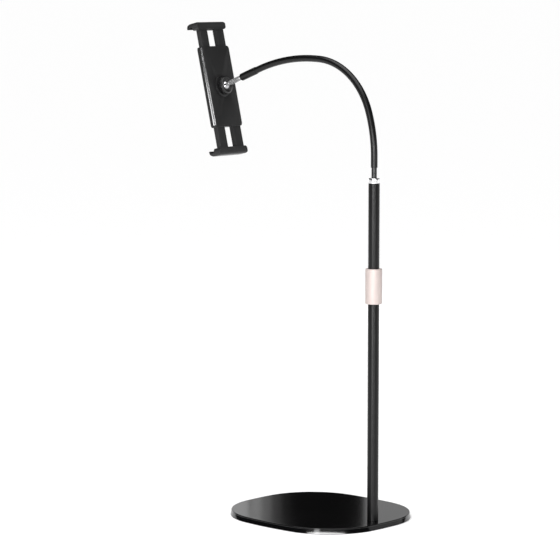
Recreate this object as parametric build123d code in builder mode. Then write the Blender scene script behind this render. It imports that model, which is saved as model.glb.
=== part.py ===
from build123d import *
import os
from math import acos, cos, degrees, hypot, pi, radians, sin, sqrt, tan

os.makedirs("parts", exist_ok=True)

# Shared clearances, in mm
overrun = 3.0
running_fit = 0.05
slide_gap = 0.3
seat_gap = 0.1

# Base: a rounded square, with its long way along X and the pole near its rear edge
base_length = 300.0
base_width = 269.0
base_height = 9.6
base_side_radius = 600.0
base_corner_radius = 108.0
base_edge_round = 2.4
base_wall = 1.5
base_rim_lift = 0.5
pad_thickness = 1.2
pad_inset = 6.0
plate_thickness = 5.4
plate_edge_gap = 1.2
pole_x = 119.7
post_radius = 5.0
post_spacing_x = 170.0
post_spacing_y = 140.0
base_screw_radius = 2.0
base_screw_head_radius = 3.9
base_screw_head_height = 2.0
base_screw_grip = 1.8

# Foot joint, which pulls the lower tube down on the weight plate
foot_bolt_radius = 4.0
foot_bolt_head_radius = 6.5
foot_bolt_head_height = 2.6
foot_bolt_thread = 22.0
foot_hex_radius = 3.4
foot_hex_depth = 1.6
foot_washer_radius = 8.5
foot_washer_thickness = 0.9
foot_plug_length = 35.0
foot_recess_depth = 3.5
pad_hole_margin = 2.0

# Pole
tube_diameter = 19.0
tube_wall = 1.4
inner_tube_diameter = 15.5
inner_tube_wall = 1.2
inner_tube_overlap = 60.0
height_travel = 250.0
glide_length = 18.0
collar_bottom = 377.6
collar_length = 59.0
collar_diameter = 28.0
collar_top_wall = 5.0
collar_edge_chamfer = 0.7
collet_length = 11.0
collet_wall = 3.2
collet_taper = 1.4
collet_slot = 1.0
collet_slot_count = 4
upper_tube_length = 143.0
top_ring_height = 8.3
top_ring_chamfer = 1.0
neck_plug_length = 24.0
spigot_diameter = 9.1
spigot_length = 17.7

# Gooseneck: three bends, each cut into equal links that pivot on one another
neck_diameter = 11.4
core_diameter = 7.2
neck_base_length = 17.0
neck_core_root = 13.0
rise_bend_radius = 232.0
rise_bend_angle = 19.0
rise_bend_links = 2
crown_bend_radius = 126.0
crown_bend_angle = 67.0
crown_bend_links = 3
reach_bend_radius = 347.0
reach_bend_angle = 24.0
reach_bend_links = 3
neck_end_length = 31.0

# Head sleeve, ball stem and ball joint
head_sleeve_diameter = 13.0
head_sleeve_length = 37.0
head_sleeve_edge = 1.2
stem_socket_depth = 12.5
stem_diameter = 8.8
stem_visible = 45.3
ball_radius = 8.5
ball_rise = 4.5
ball_neck_radius = 3.2
ball_neck_end = 13.0
stem_cone_end = 16.0
seat_wall = 0.75
seat_half_angle = 48.0
socket_floor = 1.65
socket_rim = 1.0
socket_radius = 13.4
socket_flange_radius = 19.0
socket_flange_height = 1.4
socket_skirt_top = 1.9
socket_cup_radius = 10.6
socket_cup_chamfer = 3.4
grip_ring_top = 4.6
nut_radius = 15.6
nut_top = 6.5
nut_mouth_inner = 7.6
nut_mouth_outer = 9.3
nut_flute_radius = 1.3
nut_flute_count = 18
nut_chamfer = 0.8

# Holder, turned and tilted about the ball as in the photograph
holder_pan = 5.4
holder_pitch = 12.9
holder_width = 71.6
holder_length = 143.0
holder_corner = 2.5
holder_edge_round = 1.8
cover_thickness = 1.6
cover_inset = 0.8
cover_edge = 0.4
shell_floor = 2.6
shell_end_wall = 2.0
back_pad_thickness = 1.6
back_pad_margin = 1.8
trim_height = 5.6
trim_thickness = 1.5
trim_sink = 0.75
trim_drop = 0.3
trim_end_margin = 0.8
trim_rib_pitch = 4.0
trim_rib_width = 1.0
trim_rib_depth = 0.35
trim_rib_inset = 1.3
pillar_radius = 3.2
pillar_spacing = 32.0
pillar_inner_place = 28.0
cover_boss_height = 3.0
housing_screw_radius = 1.25
housing_screw_head_radius = 2.4
housing_screw_head_height = 1.8
socket_screw_place = 14.5
socket_screw_bite = 1.2

# Arms, racks and pinion
arm_depth = 8.2
arm_outer = 32.5
upper_bar_width = 20.5
lower_bar_width = 21.5
arm_tail = 36.0
arm_chamfer = 0.7
arm_crossbar = 6.5
gear_module = 0.8
pinion_teeth = 12
pinion_thickness = 2.2
pressure_angle = 20.0
rack_addendum = 0.55
pinion_addendum = 0.6
gear_root_gap = 0.2
gear_backlash = 0.16
rack_back = 10.0
rack_link = 5.0
rack_run_past = 12.0
pin_radius = 1.6
pin_boss_radius = 5.0
washer_radius = 4.5
washer_thickness = 0.4
washer_rise = 0.5

# Jaws
tablet_opening = 223.9
jaw_offset = 2.75
jaw_half_width = 38.5
jaw_corner = 5.0
jaw_wall = 4.6
jaw_back_proud = 1.55
jaw_block_depth = 13.4
jaw_lip_length = 5.2
jaw_lip_thickness = 2.3
jaw_throat = 8.6
jaw_pocket_length = 8.8
jaw_edge_round = 4.0
jaw_nose_round = 8.0
jaw_small_round = 1.2
jaw_pad_thickness = 1.4
jaw_lip_pad = 1.0
jaw_pad_inset = 2.0
jaw_screw_place = 23.5
jaw_screw_depth = 9.0

# The base's outline is four long side arcs that meet four corner arcs at tangents
half_length = base_length / 2
half_width = base_width / 2
end_centre = Vector(half_length - base_side_radius, 0)
flank_centre = Vector(0, half_width - base_side_radius)
centre_line = flank_centre - end_centre
corner_reach = base_side_radius - base_corner_radius
corner_rise = sqrt(corner_reach**2 - (centre_line.length / 2) ** 2)
corner_way = Vector(-centre_line.Y, centre_line.X) / centre_line.length
if corner_way.X < 0:
    corner_way = corner_way * -1
corner_centre = (end_centre + flank_centre) / 2 + corner_way * corner_rise


def base_outline(inset):
    """The base's outline as a level sketch, drawn in by an inset."""
    end_way = (corner_centre - end_centre).normalized()
    flank_way = (corner_centre - flank_centre).normalized()
    end_point = end_centre + end_way * (base_side_radius - inset)
    flank_point = flank_centre + flank_way * (base_side_radius - inset)
    corner_point = corner_centre + (end_way + flank_way).normalized() * (base_corner_radius - inset)
    with BuildSketch() as outline:
        with BuildLine():
            for side in (1, -1):
                ThreePointArc(
                    (side * end_point.X, -end_point.Y),
                    (side * (half_length - inset), 0),
                    (side * end_point.X, end_point.Y),
                )
                ThreePointArc(
                    (-flank_point.X, side * flank_point.Y),
                    (0, side * (half_width - inset)),
                    (flank_point.X, side * flank_point.Y),
                )
                for turn in (1, -1):
                    ThreePointArc(
                        (side * end_point.X, turn * end_point.Y),
                        (side * corner_point.X, turn * corner_point.Y),
                        (side * flank_point.X, turn * flank_point.Y),
                    )
        make_face()
    return outline.sketch


cover_outline = base_outline(0)
cavity_outline = base_outline(base_wall)
plate_outline = base_outline(base_wall + plate_edge_gap)
pad_outline = base_outline(pad_inset)
plate_top = pad_thickness + plate_thickness
cover_ceiling = base_height - base_wall
tube_radius = tube_diameter / 2
tube_bore = tube_radius - tube_wall
foot_recess_radius = foot_washer_radius + slide_gap
foot_recess_top = pad_thickness + foot_recess_depth
foot_head_top = foot_recess_top - foot_washer_thickness
base_screw_recess = base_screw_head_height + seat_gap

# Non-slip pad under the base
with BuildPart() as base_pad:
    with BuildSketch(Plane.XY):
        add(pad_outline)
        with Locations((pole_x, 0)):
            Circle(foot_recess_radius + pad_hole_margin, mode=Mode.SUBTRACT)
    extrude(amount=pad_thickness)
base_pad.part.label = "base_pad"
export_step(base_pad.part, "parts/base_pad.step")

# Steel weight plate
with BuildPart() as weight_plate:
    with BuildSketch(Plane.XY.offset(pad_thickness)):
        add(plate_outline)
        with Locations((pole_x, 0)):
            Circle(foot_bolt_radius + slide_gap, mode=Mode.SUBTRACT)
        with GridLocations(post_spacing_x, post_spacing_y, 2, 2):
            Circle(base_screw_radius + slide_gap, mode=Mode.SUBTRACT)
    extrude(amount=plate_thickness)
    with BuildSketch(Plane.XY.offset(pad_thickness)):
        with Locations((pole_x, 0)):
            Circle(foot_recess_radius)
    extrude(amount=foot_recess_depth, mode=Mode.SUBTRACT)
    with BuildSketch(Plane.XY.offset(pad_thickness)):
        with GridLocations(post_spacing_x, post_spacing_y, 2, 2):
            Circle(base_screw_head_radius + slide_gap)
    extrude(amount=base_screw_recess, mode=Mode.SUBTRACT)
weight_plate.part.label = "weight_plate"
export_step(weight_plate.part, "parts/weight_plate.step")

# Gloss cover shell, with posts that stand on the plate and a hole for the pole
with BuildPart() as base_cover:
    with BuildSketch(Plane.XY.offset(base_rim_lift)):
        add(cover_outline)
    extrude(amount=base_height - base_rim_lift)
    fillet(base_cover.faces().sort_by(Axis.Z)[-1].edges(), radius=base_edge_round)
    with BuildSketch(Plane.XY):
        add(cavity_outline)
    extrude(amount=cover_ceiling, mode=Mode.SUBTRACT)
    ceiling_edges = base_cover.edges().filter_by_position(
        Axis.Z, cover_ceiling - running_fit, cover_ceiling + running_fit
    )
    fillet(ceiling_edges, radius=base_edge_round - base_wall)
    with BuildSketch(Plane.XY.offset(plate_top)):
        with GridLocations(post_spacing_x, post_spacing_y, 2, 2):
            Circle(post_radius)
        with Locations((pole_x, 0)):
            Circle(tube_radius + base_wall)
    extrude(amount=cover_ceiling - plate_top + running_fit)
    with BuildSketch(Plane.XY):
        with Locations((pole_x, 0)):
            Circle(tube_radius + running_fit)
    extrude(amount=base_height + overrun, mode=Mode.SUBTRACT)
    with BuildSketch(Plane.XY):
        with GridLocations(post_spacing_x, post_spacing_y, 2, 2):
            Circle(base_screw_radius + running_fit)
    extrude(amount=plate_top + base_screw_grip + slide_gap, mode=Mode.SUBTRACT)
base_cover.part.label = "base_cover"
export_step(base_cover.part, "parts/base_cover.step")

# Four screws up through the plate into the posts
with BuildPart() as base_screws:
    with BuildSketch(Plane.XY.offset(pad_thickness)):
        with GridLocations(post_spacing_x, post_spacing_y, 2, 2):
            Circle(base_screw_head_radius)
    extrude(amount=base_screw_head_height)
    with BuildSketch(Plane.XY.offset(pad_thickness + base_screw_head_height)):
        with GridLocations(post_spacing_x, post_spacing_y, 2, 2):
            Circle(base_screw_radius)
    extrude(amount=plate_thickness - base_screw_head_height + base_screw_grip)
base_screws.part.label = "base_screws"
export_step(base_screws.part, "parts/base_screws.step")

pole_axis = Axis((pole_x, 0, 0), (0, 0, 1))


def pole_plane(height):
    """A level plane on the pole's axis."""
    return Plane((pole_x, 0, height))


# Threaded plug in the tube's foot
with BuildPart() as foot_plug:
    with BuildSketch(pole_plane(plate_top)):
        Circle(tube_bore - running_fit)
        Circle(foot_bolt_radius + running_fit, mode=Mode.SUBTRACT)
    extrude(amount=foot_plug_length)
    chamfer(foot_plug.edges().sort_by(Axis.Z)[-1], length=tube_wall / 2)
foot_plug.part.label = "foot_plug"
export_step(foot_plug.part, "parts/foot_plug.step")

# Washer and hex socket bolt under the plate
with BuildPart() as foot_washer:
    with BuildSketch(pole_plane(foot_head_top)):
        Circle(foot_washer_radius)
        Circle(foot_bolt_radius + running_fit, mode=Mode.SUBTRACT)
    extrude(amount=foot_washer_thickness)
foot_washer.part.label = "foot_washer"
export_step(foot_washer.part, "parts/foot_washer.step")

with BuildPart() as foot_bolt:
    with BuildSketch(pole_plane(foot_head_top - foot_bolt_head_height)):
        Circle(foot_bolt_head_radius)
    extrude(amount=foot_bolt_head_height)
    with BuildSketch(pole_plane(foot_head_top)):
        Circle(foot_bolt_radius)
    extrude(amount=plate_top - foot_head_top + foot_bolt_thread)
    with BuildSketch(pole_plane(foot_head_top - foot_bolt_head_height)):
        RegularPolygon(foot_hex_radius, 6)
    extrude(amount=foot_hex_depth, mode=Mode.SUBTRACT)
foot_bolt.part.label = "foot_bolt"
export_step(foot_bolt.part, "parts/foot_bolt.step")

collar_top = collar_bottom + collar_length
collet_bottom = collar_top - collar_top_wall - slide_gap - collet_length
inner_tube_radius = inner_tube_diameter / 2
collar_radius = collar_diameter / 2

# Lower tube, from the weight plate up into the collar
with BuildPart() as lower_tube:
    with BuildSketch(pole_plane(plate_top)):
        Circle(tube_radius)
        Circle(tube_bore, mode=Mode.SUBTRACT)
    extrude(amount=collet_bottom - plate_top)
lower_tube.part.label = "lower_tube"
export_step(lower_tube.part, "parts/lower_tube.step")

# Split nylon collet on the tube's mouth, which the collar squeezes on the inner tube
collet_inner = inner_tube_radius + running_fit
with BuildPart() as collar_collet:
    with BuildSketch(Plane.XZ.offset(0)):
        with BuildLine():
            Polyline(
                (pole_x + collet_inner, collet_bottom),
                (pole_x + collet_inner + collet_wall, collet_bottom),
                (pole_x + collet_inner + collet_wall, collet_bottom + collet_length / 2),
                (pole_x + collet_inner + collet_wall - collet_taper, collet_bottom + collet_length),
                (pole_x + collet_inner, collet_bottom + collet_length),
                close=True,
            )
        make_face()
    revolve(axis=pole_axis)
    with BuildSketch(pole_plane(collet_bottom + collet_length / 4)):
        with PolarLocations(collet_inner + collet_wall / 2, collet_slot_count):
            Rectangle(collet_wall * 2, collet_slot)
    extrude(amount=collet_length, mode=Mode.SUBTRACT)
collar_collet.part.label = "collar_collet"
export_step(collar_collet.part, "parts/collar_collet.step")

# Twist collar
with BuildPart() as lock_collar:
    with BuildSketch(pole_plane(collar_bottom)):
        Circle(collar_radius)
    extrude(amount=collar_length)
    chamfer(lock_collar.edges(), length=collar_edge_chamfer)
    with BuildSketch(pole_plane(collar_bottom)):
        Circle(tube_radius + running_fit)
    extrude(amount=collet_bottom - collar_bottom, mode=Mode.SUBTRACT)
    with BuildSketch(pole_plane(collet_bottom - slide_gap)):
        Circle(collet_inner + collet_wall + slide_gap)
    extrude(amount=collet_length + slide_gap * 2, mode=Mode.SUBTRACT)
    with BuildSketch(pole_plane(collar_bottom)):
        Circle(inner_tube_radius + slide_gap)
    extrude(amount=collar_length + overrun, mode=Mode.SUBTRACT)
lock_collar.part.label = "lock_collar"
export_step(lock_collar.part, "parts/lock_collar.step")

upper_tube_top = collar_top + upper_tube_length
neck_plug_bottom = upper_tube_top - neck_plug_length
inner_tube_bottom = collar_top - height_travel - inner_tube_overlap
inner_tube_top = neck_plug_bottom - slide_gap

# Inner tube, which slides in the lower tube and carries the upper one
with BuildPart() as inner_tube:
    with BuildSketch(pole_plane(inner_tube_bottom)):
        Circle(inner_tube_radius)
        Circle(inner_tube_radius - inner_tube_wall, mode=Mode.SUBTRACT)
    extrude(amount=inner_tube_top - inner_tube_bottom)
inner_tube.part.label = "inner_tube"
export_step(inner_tube.part, "parts/inner_tube.step")

# Nylon glide, a plug in the inner tube's end with a head that fills the lower tube
with BuildPart() as tube_glide:
    with BuildSketch(pole_plane(inner_tube_bottom - glide_length)):
        Circle(tube_bore - running_fit)
    extrude(amount=glide_length)
    with BuildSketch(pole_plane(inner_tube_bottom)):
        Circle(inner_tube_radius - inner_tube_wall - running_fit)
    extrude(amount=glide_length)
tube_glide.part.label = "tube_glide"
export_step(tube_glide.part, "parts/tube_glide.step")

# Upper tube, which stands on the collar at the lowest height
with BuildPart() as upper_tube:
    with BuildSketch(pole_plane(collar_top)):
        Circle(tube_radius)
        Circle(inner_tube_radius + running_fit, mode=Mode.SUBTRACT)
    extrude(amount=upper_tube_length)
    with BuildSketch(pole_plane(neck_plug_bottom)):
        Circle(tube_bore)
    extrude(amount=neck_plug_length + overrun, mode=Mode.SUBTRACT)
upper_tube.part.label = "upper_tube"
export_step(upper_tube.part, "parts/upper_tube.step")

ring_top = upper_tube_top + top_ring_height
spigot_radius = spigot_diameter / 2
spigot_top = ring_top + spigot_length

# Bright ring on the tube's top
with BuildPart() as top_ring:
    with BuildSketch(pole_plane(upper_tube_top)):
        Circle(tube_radius)
    extrude(amount=top_ring_height)
    chamfer(top_ring.edges().sort_by(Axis.Z)[-1], length=top_ring_chamfer)
    with BuildSketch(pole_plane(upper_tube_top)):
        Circle(spigot_radius + running_fit)
    extrude(amount=top_ring_height + overrun, mode=Mode.SUBTRACT)
top_ring.part.label = "top_ring"
export_step(top_ring.part, "parts/top_ring.step")

core_radius = core_diameter / 2
core_bore = core_radius + running_fit
neck_radius = neck_diameter / 2

# Plug in the upper tube with the spigot that holds the gooseneck's core
with BuildPart() as neck_socket:
    with BuildSketch(pole_plane(neck_plug_bottom)):
        Circle(tube_bore - running_fit)
    extrude(amount=neck_plug_length)
    with BuildSketch(pole_plane(upper_tube_top)):
        Circle(spigot_radius)
    extrude(amount=spigot_top - upper_tube_top)
    with BuildSketch(pole_plane(spigot_top - neck_core_root)):
        Circle(core_radius + running_fit)
    extrude(amount=neck_core_root + overrun, mode=Mode.SUBTRACT)
neck_socket.part.label = "neck_socket"
export_step(neck_socket.part, "parts/neck_socket.step")

# The gooseneck's line, in the XZ plane: up the pole's axis, then three bends towards -X.
# Each stop is a point with the heading there, in degrees from +X towards +Z.
heading = 90.0
stop = Vector(pole_x, 0, spigot_top + neck_base_length)
neck_stops = [(stop, heading)]
neck_bends = []
for bend_radius, bend_angle, bend_links in (
    (rise_bend_radius, rise_bend_angle, rise_bend_links),
    (crown_bend_radius, crown_bend_angle, crown_bend_links),
    (reach_bend_radius, reach_bend_angle, reach_bend_links),
):
    link_angle = bend_angle / bend_links
    for _ in range(bend_links):
        side_way = Vector(-sin(radians(heading)), 0, cos(radians(heading)))
        centre = stop + side_way * bend_radius
        neck_bends.append((centre, link_angle))
        heading = heading + link_angle
        new_side = Vector(-sin(radians(heading)), 0, cos(radians(heading)))
        stop = centre - new_side * bend_radius
        neck_stops.append((stop, heading))


def way_of(angle):
    """The unit vector of a heading in the XZ plane."""
    return Vector(cos(radians(angle)), 0, sin(radians(angle)))


def link_plane(index, ahead=0.0):
    """A plane across the gooseneck at a stop, or straight ahead of it."""
    place, angle = neck_stops[index]
    way = way_of(angle)
    return Plane(origin=place + way * ahead, x_dir=(0, 1, 0), z_dir=way)


link_count = len(neck_bends)
hollow_radius = neck_radius + slide_gap

# Fixed foot of the gooseneck: a sleeve and the core that runs down into the spigot
with BuildPart() as neck_sleeve_0:
    with BuildSketch(pole_plane(spigot_top)):
        Circle(neck_radius)
    extrude(amount=neck_base_length)
    add(Solid.make_sphere(neck_radius, plane=link_plane(0), angle1=0))
    with BuildSketch(pole_plane(spigot_top)):
        Circle(core_bore)
    extrude(amount=neck_base_length + neck_diameter, mode=Mode.SUBTRACT)
neck_sleeve_0.part.label = "neck_sleeve_0"
export_step(neck_sleeve_0.part, "parts/neck_sleeve_0.step")

with BuildPart() as neck_core_0:
    with BuildSketch(pole_plane(spigot_top + neck_base_length)):
        Circle(core_radius)
    extrude(amount=neck_diameter)
    add(Solid.make_sphere(neck_radius, plane=link_plane(0), angle1=0), mode=Mode.INTERSECT)
    with BuildSketch(pole_plane(spigot_top - neck_core_root)):
        Circle(core_radius)
    extrude(amount=neck_core_root + neck_base_length)
neck_core_0.part.label = "neck_core_0"
export_step(neck_core_0.part, "parts/neck_core_0.step")

# Bending links: each turns on the round end of the one before it
for index in range(link_count):
    centre, link_angle = neck_bends[index]
    bend_axis = Axis(tuple(centre), (0, -1, 0))
    ahead = link_plane(index + 1)
    with BuildPart() as neck_sleeve:
        with BuildSketch(link_plane(index)):
            Circle(neck_radius)
        revolve(axis=bend_axis, revolution_arc=link_angle)
        add(Solid.make_sphere(neck_radius, plane=ahead, angle1=0))
        with BuildSketch(link_plane(index)):
            Circle(core_bore)
        revolve(axis=bend_axis, revolution_arc=link_angle, mode=Mode.SUBTRACT)
        with BuildSketch(ahead):
            Circle(core_bore)
        extrude(amount=neck_diameter, mode=Mode.SUBTRACT)
        with Locations(neck_stops[index][0]):
            Sphere(hollow_radius, mode=Mode.SUBTRACT)
    neck_sleeve.part.label = f"neck_sleeve_{index + 1}"
    export_step(neck_sleeve.part, f"parts/neck_sleeve_{index + 1}.step")
    with BuildPart() as neck_core:
        with BuildSketch(ahead):
            Circle(core_radius)
        extrude(amount=neck_diameter)
        add(Solid.make_sphere(neck_radius, plane=ahead, angle1=0), mode=Mode.INTERSECT)
        with BuildSketch(link_plane(index)):
            Circle(core_radius)
        revolve(axis=bend_axis, revolution_arc=link_angle)
        with Locations(neck_stops[index][0]):
            Sphere(hollow_radius, mode=Mode.SUBTRACT)
    neck_core.part.label = f"neck_core_{index + 1}"
    export_step(neck_core.part, f"parts/neck_core_{index + 1}.step")

# Straight end link
end_index = link_count + 1
head_front = neck_end_length + stem_socket_depth
with BuildPart() as end_sleeve:
    with BuildSketch(link_plane(link_count)):
        Circle(neck_radius)
        Circle(core_bore, mode=Mode.SUBTRACT)
    extrude(amount=neck_end_length)
    with Locations(neck_stops[link_count][0]):
        Sphere(hollow_radius, mode=Mode.SUBTRACT)
end_sleeve.part.label = f"neck_sleeve_{end_index}"
export_step(end_sleeve.part, f"parts/neck_sleeve_{end_index}.step")

with BuildPart() as end_core:
    with BuildSketch(link_plane(link_count)):
        Circle(core_radius)
    extrude(amount=neck_end_length)
    with Locations(neck_stops[link_count][0]):
        Sphere(hollow_radius, mode=Mode.SUBTRACT)
end_core.part.label = f"neck_core_{end_index}"
export_step(end_core.part, f"parts/neck_core_{end_index}.step")

# Thick end sleeve, whose front is the stem's bearing
with BuildPart() as head_sleeve:
    with BuildSketch(link_plane(link_count, head_front - head_sleeve_length)):
        Circle(head_sleeve_diameter / 2)
    extrude(amount=head_sleeve_length)
    chamfer(head_sleeve.edges(), length=head_sleeve_edge)
    with BuildSketch(link_plane(link_count)):
        Circle(neck_radius)
    extrude(amount=neck_end_length, mode=Mode.SUBTRACT)
    with BuildSketch(link_plane(link_count, neck_end_length - overrun)):
        Circle(stem_diameter / 2 + running_fit)
    extrude(amount=head_front - neck_end_length + overrun * 2, mode=Mode.SUBTRACT)
head_sleeve.part.label = "head_sleeve"
export_step(head_sleeve.part, "parts/head_sleeve.step")

# Ball centre, and the stem's way back towards the gooseneck
end_place, end_heading = neck_stops[link_count]
ball_centre = end_place + way_of(end_heading) * (head_front + stem_visible)
stem_way = way_of(end_heading) * -1
stem_profile = Plane(origin=ball_centre, x_dir=(0, 1, 0), z_dir=Vector(0, 1, 0).cross(stem_way))
stem_axis = Axis(tuple(ball_centre), tuple(stem_way))
stem_end = stem_visible + stem_socket_depth - slide_gap

with BuildPart() as ball_stem:
    with BuildSketch(stem_profile):
        with BuildLine():
            ThreePointArc(
                (0, -ball_radius),
                (ball_radius, 0),
                (ball_neck_radius, sqrt(ball_radius**2 - ball_neck_radius**2)),
            )
            Polyline(
                (ball_neck_radius, sqrt(ball_radius**2 - ball_neck_radius**2)),
                (ball_neck_radius, ball_neck_end),
                (stem_diameter / 2, stem_cone_end),
                (stem_diameter / 2, stem_end),
                (0, stem_end),
                (0, -ball_radius),
            )
        make_face()
    revolve(axis=stem_axis)
ball_stem.part.label = "ball_stem"
export_step(ball_stem.part, "parts/ball_stem.step")

# The holder's own axes: x across it, y up it, z out of its back towards the gooseneck
pan = radians(holder_pan)
pitch = radians(holder_pitch)
holder_out = Vector(cos(pan) * cos(pitch), sin(pan) * cos(pitch), sin(pitch))
holder_across = Vector(-sin(pan), cos(pan), 0)
holder_up = holder_out.cross(holder_across)
holder = Plane(origin=ball_centre, x_dir=holder_across, z_dir=holder_out)
turned = Plane(origin=ball_centre, x_dir=holder_across, z_dir=holder_up * -1)
jaw_side = Plane(origin=ball_centre, x_dir=holder_up, z_dir=holder_across)
holder_axis = Axis(tuple(ball_centre), tuple(holder_out))

seat_inner = ball_radius + running_fit
seat_outer = seat_inner + seat_wall
cavity_radius = seat_outer + running_fit
cover_face = -ball_rise
cup_bottom = -(cavity_radius + socket_floor)
skirt_top = cover_face + socket_skirt_top

# Seat cup between the ball and the socket
seat_lip = radians(seat_half_angle)
with BuildPart() as ball_seat:
    with BuildSketch(turned):
        with BuildLine():
            ThreePointArc(
                (0, -seat_outer),
                (seat_outer * sin(seat_lip / 2), -seat_outer * cos(seat_lip / 2)),
                (seat_outer * sin(seat_lip), -seat_outer * cos(seat_lip)),
            )
            Line(
                (seat_outer * sin(seat_lip), -seat_outer * cos(seat_lip)),
                (seat_inner * sin(seat_lip), -seat_inner * cos(seat_lip)),
            )
            ThreePointArc(
                (seat_inner * sin(seat_lip), -seat_inner * cos(seat_lip)),
                (seat_inner * sin(seat_lip / 2), -seat_inner * cos(seat_lip / 2)),
                (0, -seat_inner),
            )
            Line((0, -seat_inner), (0, -seat_outer))
        make_face()
    revolve(axis=holder_axis)
ball_seat.part.label = "ball_seat"
export_step(ball_seat.part, "parts/ball_seat.step")

# Socket boss, screwed to the cover plate from inside
mouth_radius = sqrt(cavity_radius**2 - socket_rim**2)
with BuildPart() as ball_socket:
    with BuildSketch(turned):
        with BuildLine():
            Polyline(
                (0, -cavity_radius),
                (0, cup_bottom),
                (socket_cup_radius - socket_cup_chamfer, cup_bottom),
                (socket_cup_radius, cup_bottom + socket_cup_chamfer),
                (socket_cup_radius, cover_face),
                (socket_flange_radius, cover_face),
                (socket_flange_radius, cover_face + socket_flange_height),
                (nut_radius, skirt_top),
                (socket_radius, skirt_top),
                (socket_radius, socket_rim),
                (mouth_radius, socket_rim),
            )
            ThreePointArc(
                (mouth_radius, socket_rim),
                (cavity_radius * sin(pi / 4), -cavity_radius * cos(pi / 4)),
                (0, -cavity_radius),
            )
        make_face()
    revolve(axis=holder_axis)
    with BuildSketch(holder.offset(cover_face)):
        with Locations((0, socket_screw_place), (0, -socket_screw_place)):
            Circle(housing_screw_radius + running_fit)
    extrude(amount=socket_screw_bite + running_fit, mode=Mode.SUBTRACT)
ball_socket.part.label = "ball_socket"
export_step(ball_socket.part, "parts/ball_socket.step")

# Grip ring over the ball's shoulder, seen as the paler ring in the nut's mouth
ring_bottom = socket_rim + seat_gap
ring_outer = socket_radius - seat_gap
with BuildPart() as grip_ring:
    with BuildSketch(turned):
        with BuildLine():
            ThreePointArc(
                (sqrt(seat_inner**2 - ring_bottom**2), ring_bottom),
                (
                    sqrt(seat_inner**2 - ((ring_bottom + grip_ring_top) / 2) ** 2),
                    (ring_bottom + grip_ring_top) / 2,
                ),
                (sqrt(seat_inner**2 - grip_ring_top**2), grip_ring_top),
            )
            Polyline(
                (sqrt(seat_inner**2 - grip_ring_top**2), grip_ring_top),
                (ring_outer, grip_ring_top),
                (ring_outer, ring_bottom),
                (sqrt(seat_inner**2 - ring_bottom**2), ring_bottom),
            )
        make_face()
    revolve(axis=holder_axis)
grip_ring.part.label = "grip_ring"
export_step(grip_ring.part, "parts/grip_ring.step")

# Fluted lock nut
nut_bottom = skirt_top + slide_gap
nut_ceiling = grip_ring_top + running_fit
nut_bore = socket_radius + running_fit
with BuildPart() as lock_nut:
    with BuildSketch(turned):
        with BuildLine():
            Polyline(
                (nut_bore, nut_bottom),
                (nut_radius - nut_chamfer, nut_bottom),
                (nut_radius, nut_bottom + nut_chamfer),
                (nut_radius, nut_top - nut_chamfer * 2),
                (nut_radius - nut_chamfer * 2, nut_top),
                (nut_mouth_outer, nut_top),
                (nut_mouth_inner, nut_ceiling),
                (nut_bore, nut_ceiling),
                close=True,
            )
        make_face()
    revolve(axis=holder_axis)
    with BuildSketch(holder.offset(nut_bottom)):
        with PolarLocations(nut_radius + nut_flute_radius / 2, nut_flute_count):
            Circle(nut_flute_radius)
    extrude(amount=nut_top - nut_bottom - nut_chamfer * 2, mode=Mode.SUBTRACT)
lock_nut.part.label = "lock_nut"
export_step(lock_nut.part, "parts/lock_nut.step")

cover_back = cover_face - cover_thickness
arm_face = cover_back - slide_gap
arm_back = arm_face - arm_depth
floor_top = arm_back - slide_gap
shell_back = floor_top - shell_floor
holder_back = shell_back - back_pad_thickness
pocket_half = arm_outer + slide_gap
holder_half = holder_width / 2
holder_end = holder_length / 2
upper_bar_inner = arm_outer - upper_bar_width
lower_bar_inner = arm_outer - lower_bar_width
pillar_outer_place = pillar_inner_place + pillar_spacing
pillar_places = [
    (0, pillar_outer_place),
    (0, pillar_inner_place),
    (0, -pillar_inner_place),
    (0, -pillar_outer_place),
]
cover_boss_bottom = cover_back - cover_boss_height
gear_face = cup_bottom - slide_gap
gear_back = gear_face - pinion_thickness
pin_boss_top = gear_back - washer_rise - washer_thickness - seat_gap
screw_seat = shell_back + housing_screw_head_height + seat_gap
screw_bite = cover_face - seat_gap * 4

# Cover plate with the bosses that the housing screws bite
with BuildPart() as cover_plate:
    with BuildSketch(holder.offset(cover_back)):
        RectangleRounded(holder_width - cover_inset * 2, holder_length, holder_corner)
    extrude(amount=cover_thickness)
    chamfer(cover_plate.faces().sort_by(holder_axis)[-1].edges(), length=cover_edge)
    with BuildSketch(holder.offset(cover_boss_bottom)):
        with Locations(*pillar_places):
            Circle(pillar_radius)
    extrude(amount=cover_boss_height)
    with BuildSketch(holder.offset(cover_boss_bottom)):
        with Locations(*pillar_places):
            Circle(housing_screw_radius + running_fit)
    extrude(amount=screw_bite - cover_boss_bottom + seat_gap, mode=Mode.SUBTRACT)
    with BuildSketch(holder.offset(cover_back)):
        with Locations((0, socket_screw_place), (0, -socket_screw_place)):
            Circle(housing_screw_radius + running_fit)
        Circle(socket_cup_radius + running_fit)
    extrude(amount=cover_thickness, mode=Mode.SUBTRACT)
cover_plate.part.label = "cover_plate"
export_step(cover_plate.part, "parts/cover_plate.step")

# Two screws from inside the cover plate into the socket boss
with BuildPart() as socket_screws:
    with BuildSketch(holder.offset(cover_back - housing_screw_head_height)):
        with Locations((0, socket_screw_place), (0, -socket_screw_place)):
            Circle(housing_screw_head_radius)
    extrude(amount=housing_screw_head_height)
    with BuildSketch(holder.offset(cover_back)):
        with Locations((0, socket_screw_place), (0, -socket_screw_place)):
            Circle(housing_screw_radius)
    extrude(amount=cover_thickness + socket_screw_bite)
socket_screws.part.label = "socket_screws"
export_step(socket_screws.part, "parts/socket_screws.step")

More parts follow.
